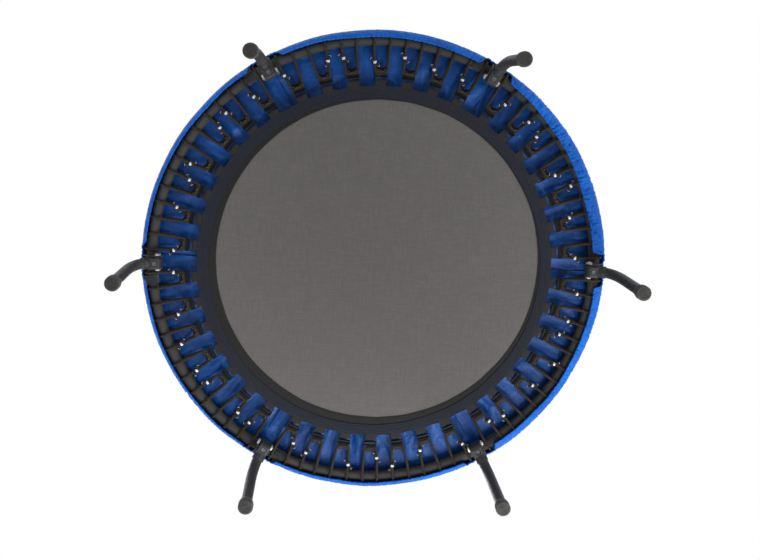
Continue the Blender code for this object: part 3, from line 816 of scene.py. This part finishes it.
def mat_border():
    """The black inner band, the webbing over it with its rows of stitching, and the tabs."""
    low = MAT_LOW - 0.0003
    band = flat_ring(INNER_BAND, WEBBING[0] + 0.004, low - 0.001, low, 504, 0.0004, off=BAND_OFF_CENTRE)
    put("border_band", band, BAND, "mat")
    web = flat_ring(*WEBBING, low - 0.0024, low - 0.0013, 1008, 0.0005, -0.0012, puff=0.0002,
                    ribs=(6, 0.0012))
    put("border_webbing", web, WEB, "mat", "mat_edge_band")
    rows = stitch_rows([(WEBBING[0] + 0.00467 * k, low - 0.0026) for k in range(1, 6)])
    inner = joined(stitch_rows([(INNER_BAND + 0.004, low - 0.0013)]))
    rows.append(moved(inner, lambda p: p + [*BAND_OFF_CENTRE, 0]))
    put("border_stitching", joined(rows), THREAD, "mat")
    fold = [(0.433, -0.0036), (0.442, -0.0032), (0.4495, -0.0028), (0.4523, -0.0017), (0.4533, 0.0),
            (0.4523, 0.0017), (0.4495, 0.0026), (0.44, 0.0028), (0.433, 0.0028), (0.433, 0.0015),
            (0.44, 0.0014), (0.449, 0.0014), (0.4512, 0.0008), (0.4518, 0.0), (0.4512, -0.0008),
            (0.449, -0.0015), (0.442, -0.0018), (0.433, -0.0022)]
    fold = spline(np.array(fold) + [0, RING_Z], 64, True)
    middle = fold.mean(0)
    y = TAB_HALF * np.r_[-1.0, -0.985, -0.95, np.linspace(-0.9, 0.9, 13), 0.95, 0.985, 1.0]
    edge = 1 - 0.1 * (np.abs(y) > TAB_HALF * 0.96)
    shape = middle + (fold[None] - middle) * edge[:, None, None]
    shells = []
    for n, angle in enumerate(LOOP_ANGLES):
        slack = 0.0003 * np.sin(9 * y / TAB_HALF + n)
        grid = polar(shape[..., 0] + slack[:, None], angle + y[:, None] / 0.445, shape[..., 1])
        shells.append(stacked(grid, (0.026, 0.05)))
    put("hook_tabs", joined(shells), TAB, "mat")


def flat_plate(rows, half, bevel, reach, z):
    """An (y, x) outline as a plate lying flat at a height z."""
    body = plate(softened(np.array(rows), 56, reach), -half, half, bevel)
    return moved(body, lambda p: p[:, [2, 0, 1]] + [0, 0, z])


def hook_shell():
    """A wire bail through the tab, a two-barred plate across it, and a tongue with two horns
    that hold the cord, joined by a thin bent wire on each side."""
    z = RING_Z
    x0, x1 = HOOK_PLATE
    wire = [(x0 + 0.002, 0.014), (0.4535, 0.0142), (HOOK_BAR, 0.0128), (HOOK_BAR, 0.0),
            (HOOK_BAR, -0.0128), (0.4535, -0.0142), (x0 + 0.002, -0.014)]
    shells = [sweep(spline([(x, y, z) for x, y in wire], 48), circle(0.0014, 10), UP)]
    wide, narrow = 0.0158, 0.014
    for low, high, half in ((x0, x1, 0.0008), (x0, x0 + 0.003, 0.004), (x1 - 0.0034, x1, 0.0044)):
        bar = [(-wide, low), (wide, low), (wide, high), (-wide, high)]
        shells.append(flat_plate(bar, half, 0.0006, 0.0009, z))
    for side in (-1, 1):
        rail = [(side * narrow, x0), (side * wide, x0), (side * wide, x1), (side * narrow, x1)]
        shells.append(flat_plate(rail, 0.0034, 0.0005, 0.0004, z))
    tip = 0.485
    tongue = [(-0.0128, x1 - 0.001), (0.0128, x1 - 0.001), (0.0118, tip - 0.003), (0.0088, tip),
              (0.005, tip - 0.0012), (0.0, tip - 0.003), (-0.005, tip - 0.0012), (-0.0088, tip),
              (-0.0118, tip - 0.003)]
    shells.append(flat_plate(tongue, 0.0012, 0.0005, 0.0006, z))
    horn = [(0.0002, 0.0), (0.0018, 0.0), (0.0018, 0.0076), (0.0024, 0.0082), (0.002, 0.009),
            (0.0002, 0.0092)]
    keepers = []
    for bight, way in ((BIGHT_LOW, -1), (BIGHT_HIGH, 1)):
        post = bight + CORD + 0.0019
        stud = revolved([(r, way * h) for r, h in horn], 12)
        shells += [moved(stud, lambda p: p + [post, side * 0.0082, z]) for side in (-1, 1)]
        height = z + way * (CORD_RISE + CORD + 0.001)
        bend = [(post + 0.001, 0.0116), (post - 0.0004, 0.0088), (bight - 0.0002, 0.0046),
                (post - 0.0026, 0.0)]
        bend += [(x, -y) for x, y in bend[-2::-1]]
        path = spline([(x, y, height - way * 0.0006 * (abs(y) > 0.01)) for x, y in bend], 36)
        keepers.append(sweep(path, circle(0.0006, 8), UP))
    return joined(shells), joined(keepers)


def on_ring(points, angle):
    """From a loop's frame (x outward, y along the ring) to the part's, keeping radii: y is laid
    off as an arc of radius x."""
    return polar(points[..., 0], angle + points[..., 1] / points[..., 0], points[..., 2])


def hooks():
    """Seven hooks to a bay."""
    both = hook_shell()
    for bay in range(LEGS):
        shells = [joined([moved(s, lambda p: on_ring(p, loop_angle(bay, i))) for i in range(LOOPS)])
                  for s in both]
        put(f"cord_hooks_{bay + 1}", shells, [HOOK, KEEPER], "mat",
            f"mat_hooks_{bay + 1}", 32)


# ---- cords ------------------------------------------------------------------------------
def loop_route(rng):
    """The closed centre line of one cord loop, in its own frame.

    From the bend under the plate it runs out, round the ring tube and back to the bend over the
    plate, and so round the other side to where it began."""
    wrap = TUBE + CORD + 0.0002
    ring = arc((RING_RADIUS, RING_Z), wrap, -99.0, 99.0, 9)
    a, b = CORD_AT_RING + rng.uniform(-0.0016, 0.0016), CORD_AT_HOOK + rng.uniform(-0.0007, 0.0007)

    def strand(side, rise, bight):
        """From the middle of a bend, round its corner and three quarters of the way to the ring."""
        height = RING_Z + rise
        first = np.array([bight + 0.0058, side * b, height])
        end = ring[0] if rise < 0 else ring[-1]
        last = np.array([end[0], side * a, end[1]])
        bow = np.array([0, side * 0.0008, 0])
        corner = [np.array([bight + 0.0002, side * (b - 0.0054), height]),
                  np.array([bight + 0.0016, side * (b - 0.0016), height])]
        return corner + [first + (last - first) * t + bow * math.sin(math.pi * t)
                         for t in (0.0, 0.25, 0.5, 0.75)]

    def half(side):
        """Under the plate, round the ring and back over the plate, on one side."""
        over_ring = [np.array([x, side * a, z]) for x, z in ring]
        return strand(side, -CORD_RISE, BIGHT_LOW) + over_ring + strand(side, CORD_RISE, BIGHT_HIGH)[::-1]

    route = [np.array([BIGHT_LOW, 0, RING_Z - CORD_RISE]), *half(1),
             np.array([BIGHT_HIGH, 0, RING_Z + CORD_RISE]), *half(-1)[::-1]]
    return spline(route, 264, True)


def cord_shell(route, angle):
    """A round cord along the loop. Its side vector points out of the loop everywhere."""
    out = np.stack([-np.maximum(BIGHT_HIGH + 0.006 - route[:, 0], 0), route[:, 1], 0 * route[:, 0]], -1)
    path = on_ring(route, angle)
    side = on_ring(route + unit(out) * 0.001, angle) - path
    return sweep(path, circle(CORD, 12), side, True)


def crimp_shells(route, angle, rng):
    """The cord's two ends crossed on one strand and held by a bright clip."""
    side = rng.choice([-1, 1])
    reach = rng.uniform(0.492, 0.52)
    lower = (route[:, 2] < RING_Z) & (route[:, 1] * side > 0) & (route[:, 0] < 0.53)
    near = np.flatnonzero(lower)[np.abs(route[lower, 0] - reach).argmin()]
    centre = route[near] + [0, 0, -0.0016]
    along = unit(route[(near + 3) % len(route)] - route[near - 3])
    along = along * np.sign(along[0])
    lean = side * rng.uniform(0.55, 1.0)
    across = unit(np.array([math.cos(lean) * 0.35, math.sin(lean), 0.0]) + along * 0.55)
    t = np.linspace(-1, 1, 24)[:, None]
    stub = centre + across * t * 0.0132 + np.array([0, 0, -0.0026]) * (1 - 0.6 * t**2)
    round_off = CORD * np.sqrt(np.clip(1 - np.abs(t[:, 0]) ** 14, 0.35, 1))
    caps = []
    for end, inner in ((stub[0], stub[1]), (stub[-1], stub[-2])):
        way = unit(end - inner)
        run = np.array([end + way * s for s in (-0.0002, 0.0001, 0.0004, 0.0006)])
        caps.append(sweep(run, circle([0.0029, 0.0029, 0.0024, 0.0008], 12), UP))
    s = np.linspace(-1, 1, 12)
    run = centre + np.array([0, 0, -0.0014]) + along * s[:, None] * 0.0031
    swell = 1 - 0.22 * np.abs(s) ** 6
    clip = sweep(run, oval(0.0045, 0.0048, 24, 3.0)[None] * swell[:, None, None], SIDE)
    shells = [clip, sweep(stub, circle(round_off, 12), UP), joined(caps)]
    return [moved(x, lambda p: on_ring(p, angle)) for x in shells]


def cords():
    """Forty-two loops, each bending between the frame and the mat, with their crimps."""
    rng = np.random.default_rng(42)
    for bay in range(LEGS):
        for i in range(LOOPS):
            angle = loop_angle(bay, i)
            swing = angle + math.radians(rng.uniform(-0.12, 0.12))
            start, end = (tuple(polar(r, angle, RING_Z)) for r in (0.533, 0.479))
            route = loop_route(rng)
            label = f"{bay + 1}_{i + 1}"
            loop = piece(f"cord_loop_{label}", cord_shell(route, swing), BRAID)
            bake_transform(loop)
            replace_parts(loop, f"bungee_cords_{bay + 1}")
            crimp = piece(f"cord_crimp_{label}", crimp_shells(route, swing, rng), [CLIP, BRAID, CORE])
            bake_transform(crimp)


# ---- cover ------------------------------------------------------------------------------
def pad_section():
    """The padded cover's closed (r, z) outline, from its inner seam along the underside."""
    low = PAD_BOTTOM
    under = np.linspace((PAD_INNER, low + 0.002), (PAD_OUTER - 0.0015, low), 22)
    top = [(PAD_OUTER - 0.0002, 0.0035), (PAD_OUTER - 0.001, 0.008), (PAD_OUTER - 0.006, 0.0115),
           (PAD_OUTER - 0.018, 0.013), (0.52, 0.0136), (0.49, 0.0138), (0.46, 0.0136),
           (PAD_INNER + 0.022, 0.0128), (PAD_INNER + 0.007, 0.0108), (PAD_INNER + 0.001, 0.007)]
    return under, spline([under[-1], *(np.array(top) + [0, low]), under[0]], 28)


def swelled(made, seams, rise):
    """The shape after its cloth is blown up against its seams, no point moving past rise."""
    mesh = made.data
    before = np.empty(len(mesh.vertices) * 3, np.float32)
    mesh.vertices.foreach_get("co", before)
    group = made.vertex_groups.new(name="seams")
    group.add(np.flatnonzero(seams).tolist(), 1.0, "REPLACE")
    scene = bpy.context.scene
    blown = made.modifiers.new("cloth", "CLOTH")
    adjust(blown.settings, {
        "quality": 4, "mass": 0.25, "tension_stiffness": 12.0, "compression_stiffness": 12.0,
        "shear_stiffness": 6.0, "bending_stiffness": 0.8, "use_pressure": True,
        "uniform_pressure_force": 4.0, "vertex_group_mass": "seams"})
    blown.settings.effector_weights.gravity = 0.0
    blown.collision_settings.use_collision = False
    blown.point_cache.frame_start, blown.point_cache.frame_end = 1, 20
    for step in range(1, 21):
        scene.frame_set(step)
    final = made.evaluated_get(bpy.context.evaluated_depsgraph_get())
    after = np.empty_like(before)
    final.to_mesh().vertices.foreach_get("co", after)
    final.to_mesh_clear()
    made.modifiers.remove(blown)
    made.vertex_groups.clear()
    scene.frame_set(1)
    shift = (after - before).reshape(-1, 3)
    size = np.linalg.norm(shift, axis=1, keepdims=True)
    held = shift / np.maximum(size, 1e-9) * rise * np.tanh(size / rise)
    return before.reshape(-1, 3) + held


def padded_cover():
    """The foam ring in its cloth: six panels, blown up between their seams."""
    around = 432
    under, over_it = pad_section()
    section = np.vstack([under, over_it[1:-1]])
    grid = polar(section[None, :, 0], full_turn(around)[:, None], section[None, :, 1])
    shell = skin(grid, True, True, (TAU * 0.49, 0.36))
    made = piece("padded_cover", shell, COVER)
    ring = np.tile(np.arange(len(section)), around)
    step = np.repeat(np.arange(around), len(section))
    radial = np.abs((step - 3) % (around // LEGS)) == 0
    edge = (ring == 0) | (ring == len(under) - 1)
    points = shell[0]
    points = swelled(made, radial | edge, 0.0065)
    r = np.hypot(points[:, 0], points[:, 1])
    angle = np.arctan2(points[:, 1], points[:, 0])
    lower = ring < len(under)
    points[lower, 2] = np.maximum(points[lower, 2], PAD_BOTTOM - 0.0012)
    free = smooth_step((0.54 - r) / 0.045) * smooth_step((r - PAD_INNER) / 0.012)
    flow = np.stack([0.49 * angle, r * 0.16, 0 * r], -1)
    pleats = waves(flow, 0.04, 14, 11) + 0.55 * waves(flow, 0.018, 14, 12)
    folds = 1 - np.abs(np.sin(1.5 * pleats)) ** 0.75
    slack = waves(polar(r, angle, 0), 0.055, 14, 5)
    points[lower, 2] -= (free * (0.0056 * folds + 0.003 * np.maximum(slack, 0)))[lower]
    crease = waves(points, 0.03, 16, 8) * 0.0005 + waves(points, 0.07, 12, 9) * 0.0006
    points[~lower, 2] += crease[~lower]
    made.data.vertices.foreach_set("co", points.astype(np.float32).ravel())
    made.data.update()
    adjust(made.modifiers.new("subsurf", "SUBSURF"), {"levels": 1, "render_levels": 1})
    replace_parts(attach(made, "frame"), "safety_pad")


def hem_reach(angle):
    """How far the hem comes in under the tube, 0 at its outer side to 1 right across it."""
    turn = np.degrees(angle) % 360
    at = [0, 56, 64, 90, 117, 123, 140, 160, 177, 183, 210, 237, 243, 270, 297, 303, 357, 360]
    reach = [0.18, 0.2, 0.22, 0.42, 0.48, 0.55, 0.8, 1.0, 1.0, 0.7, 0.55, 0.6, 0.36, 0.32, 0.3,
             0.18, 0.16, 0.18]
    return np.interp(turn, at, reach)


def from_leg(angle):
    """Angle from the nearest leg, 0 or more."""
    return np.abs((angle + LEG_STEP / 2) % LEG_STEP - LEG_STEP / 2)


def skirt_line():
    """(r, z) down the outside of the ring and in under it, clear of the cords."""
    return spline([(PAD_OUTER - 0.005, PAD_BOTTOM + 0.003), (PAD_OUTER + 0.0002, PAD_BOTTOM + 0.0006),
                   (0.572, 0.313), (0.5716, 0.302), (0.5704, 0.292), (0.5668, 0.283),
                   (0.56, 0.2778), (0.55, 0.2768), (0.5385, 0.279)], 400)


def skirt_surface(angle, share):
    """Points on the gathered skirt. share is 0 at the seam and 1 at the hem's edge."""
    line = skirt_line()
    along = np.linspace(0, 1, len(line))

    def on_line(at):
        return np.interp(at, along, line[:, 0]), np.interp(at, along, line[:, 1])

    cover = hem_reach(angle)
    notch = smooth_step((HEM_NOTCH + 0.022 - from_leg(angle)) / 0.03)
    stop = (0.62 + 0.36 * cover) * (1 - notch) + 0.42 * notch
    at = share * stop[:, None]
    (r, z), (r2, z2) = on_line(at), on_line(at + 0.01)
    way = unit(np.stack([r2 - r, z2 - z], -1))
    half = CORD_AT_RING / RING_RADIUS
    strands = np.concatenate([LOOP_ANGLES - half, LOOP_ANGLES + half])
    off = np.abs((angle[:, None] - strands + math.pi) % TAU - math.pi).min(1) * RING_RADIUS
    hollow = 1 - np.exp(-((off / 0.0085) ** 2))
    under = smooth_step((at - 0.62) / 0.18)
    weight = np.sin(math.pi * np.clip(share * 1.15, 0, 1) * 0.5) * (0.2 + 0.8 * cover[:, None])
    ruffle = np.sin(330 * angle + 2.4 * np.sin(23 * angle) + 1.7 * np.sin(57 * angle + 1.0))
    ruffle = ruffle * (0.6 + 0.4 * np.sin(41 * angle + 0.7))
    spots = np.stack([0.57 * angle[:, None] + 0 * at, at * 0.07, 0 * at], -1)
    crumple = waves(spots, 0.017, 18, 21) + 0.6 * waves(spots, 0.008, 18, 22)
    out = weight * (0.0007 * share * ruffle[:, None] + 0.003 * (0.9 - np.abs(crumple) ** 0.7))
    out = out - 0.0062 * under * hollow[:, None] * smooth_step(1.25 - share)
    sway = 0.001 * waves(np.stack([0.57 * angle, 0 * angle, 0 * angle], -1), 0.1, 8, 31)
    return polar(r - way[..., 1] * out + sway[:, None] * share, angle[:, None], z + way[..., 0] * out)


def cover_skirt():
    """The skirt as a gathered sheet, its rolled elastic hem and the piping at its seam."""
    angle = full_turn(1680)
    share = np.linspace(0, 1, 26)[None]
    made = piece("cover_skirt", skin(skirt_surface(angle, share), True, False, (TAU * 0.57, 0.07)), HEM)
    adjust(made.modifiers.new("solidify", "SOLIDIFY"), {"thickness": 0.0009, "offset": 0.0})
    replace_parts(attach(made, "frame"), "pad_skirt")
    edge = skirt_surface(angle, np.array([[1.0]]))[:, 0]
    roll = 0.0021 * (1 + 0.22 * np.sin(330 * angle + 2.4 * np.sin(23 * angle)))
    hem = put("rolled_hem", sweep(edge, circle(roll, 10), UP, True), HEM, "frame")
    seam = polar(PAD_OUTER + 0.0003, angle[::2], PAD_BOTTOM + 0.0008)
    piping = put("seam_piping", sweep(seam, circle(0.0017, 10), UP, True), COVER, "frame")


def seam_flaps():
    """The stitched edge of each radial seam, standing out under the cover beside a leg."""
    r = np.linspace(PAD_INNER + 0.004, 0.533, 40)
    hang = PAD_BOTTOM - 0.0022 - 0.0022 * smooth_step((0.5 - r) / 0.05)
    shells = []
    for k in range(1, LEGS + 1):
        angle = LEG_STEP * (k - 1) + SEAM_OFF
        path = polar(r, angle + 0.0009 * np.sin(38 * r + 2.0 * k) / r, hang)
        height = 0.0026 * (1 + 0.25 * np.sin(130 * r + k))
        section = np.array([oval(0.0009, h, 12, 2.6) for h in height])
        shells.append(sweep(path, section, polar(1.0, angle + math.pi / 2, 0.0)))
    put("seam_flaps", joined(shells), COVER, "frame")


def tie_straps():
    """Black elastic round the tube beside each leg, carried out to the skirt it is sewn to."""
    wrap = arc((RING_RADIUS, RING_Z), TUBE + 0.0011, -198, -45, 24)
    path = spline([*wrap, (0.562, 0.2872), (0.5672, 0.2876), (0.57, 0.2935), (0.5702, 0.302),
                   (0.57, 0.311)], 70)
    line = np.stack([path[:, 0], 0 * path[:, 0], path[:, 1]], -1)
    run = np.linspace(0, 1, 70)
    for k in range(1, LEGS + 1):
        angle = LEG_STEP * (k - 1) - math.radians(5.0)
        half = 0.0125 * (1 - 0.1 * np.sin(14 * run + k))
        section = np.array([oval(h, 0.0007, 24, 6.0) for h in half])
        strap = sweep(line, section, SIDE, reach=(length(line), 0.025))
        put(f"elastic_tie_{k}", moved(strap, lambda p: turned(p, angle)), ELASTIC, "frame",
            f"cover_strap_{k}")


# ---- stage ------------------------------------------------------------------------------
def stage():
    """A pale floor that can be seen only from above, soft light all round, and the camera."""
    floor_finish, tree, shader = finish("studio_floor", (0.8, 0.8, 0.79), 0.9)
    clear = add(tree, "ShaderNodeBsdfTransparent")
    back = add(tree, "ShaderNodeNewGeometry").outputs["Backfacing"]
    choice = add(tree, "ShaderNodeMixShader", {0: back, 1: shader.outputs[0], 2: clear.outputs[0]})
    tree.links.new(choice.outputs[0], tree.nodes["Material Output"].inputs["Surface"])
    edge = 40.0
    corners = [[(x, y, -0.0004) for y in (-edge, edge)] for x in (-edge, edge)]
    floor = piece("floor", skin(corners), floor_finish)
    if floor.data.polygons[0].normal.z < 0:
        floor.data.flip_normals()
    floor.visible_shadow = False

    world = bpy.data.worlds.new("studio")
    world.use_nodes = True
    tree = world.node_tree
    tree.nodes.clear()
    height = add(tree, "ShaderNodeSeparateXYZ", {0: spot(tree, "Generated")}).outputs[2]
    strength = ramp(tree, height, -0.1, 0.5, 0.2, 0.9)
    glow = add(tree, "ShaderNodeBackground", {"Color": (0.96, 0.98, 1.0, 1.0), "Strength": strength})
    white = add(tree, "ShaderNodeBackground", {"Color": (1.0, 1.0, 1.0, 1.0), "Strength": 1.0})
    seen = add(tree, "ShaderNodeLightPath").outputs["Is Camera Ray"]
    mixed = add(tree, "ShaderNodeMixShader", {0: seen, 1: glow.outputs[0], 2: white.outputs[0]})
    made = add(tree, "ShaderNodeOutputWorld")
    tree.links.new(mixed.outputs[0], made.inputs["Surface"])
    bpy.context.scene.world = world
    bpy.context.scene.view_settings.view_transform = "Standard"

    aim = Vector((0.0, 0.0, 0.3))
    for name, place, size, power in (
            ("under_light", (-0.7, -1.7, -1.4), 1.5, 70.0), ("side_light", (-2.4, 0.8, -0.7), 1.2, 26.0),
            ("low_light", (1.5, 2.2, -0.9), 1.2, 14.0), ("top_light", (0.8, -1.4, 2.6), 1.8, 60.0)):
        data = bpy.data.lights.new(name, "AREA")
        data.energy, data.size = power, size
        lamp = linked(bpy.data.objects.new(name, data))
        lamp.location = place
        lamp.rotation_mode = "QUATERNION"
        lamp.rotation_quaternion = (aim - Vector(place)).to_track_quat("-Z", "Y")

    forward = Vector((-0.0535, -0.1363, 0.9892)).normalized()
    up = Vector((0.0218, 0.9902, 0.1377))
    right = forward.cross(up).normalized()
    up = right.cross(forward)
    camera = linked(bpy.data.objects.new("camera", bpy.data.cameras.new("camera")))
    camera.data.lens = 47.21
    camera.data.sensor_width = 36.0
    camera.data.shift_x, camera.data.shift_y = 0.0014, -0.0753
    camera.matrix_world = Matrix((right, up, -forward)).transposed().to_4x4()
    camera.location = (0.1258, 0.4392, -2.1309)
    bpy.context.scene.camera = camera


stage()
cords()
hooks()
mat = mat_cloth()
mat_border()
ring_tube()
brackets_and_bolts()
legs()
tie_straps()
seam_flaps()
padded_cover()
cover_skirt()
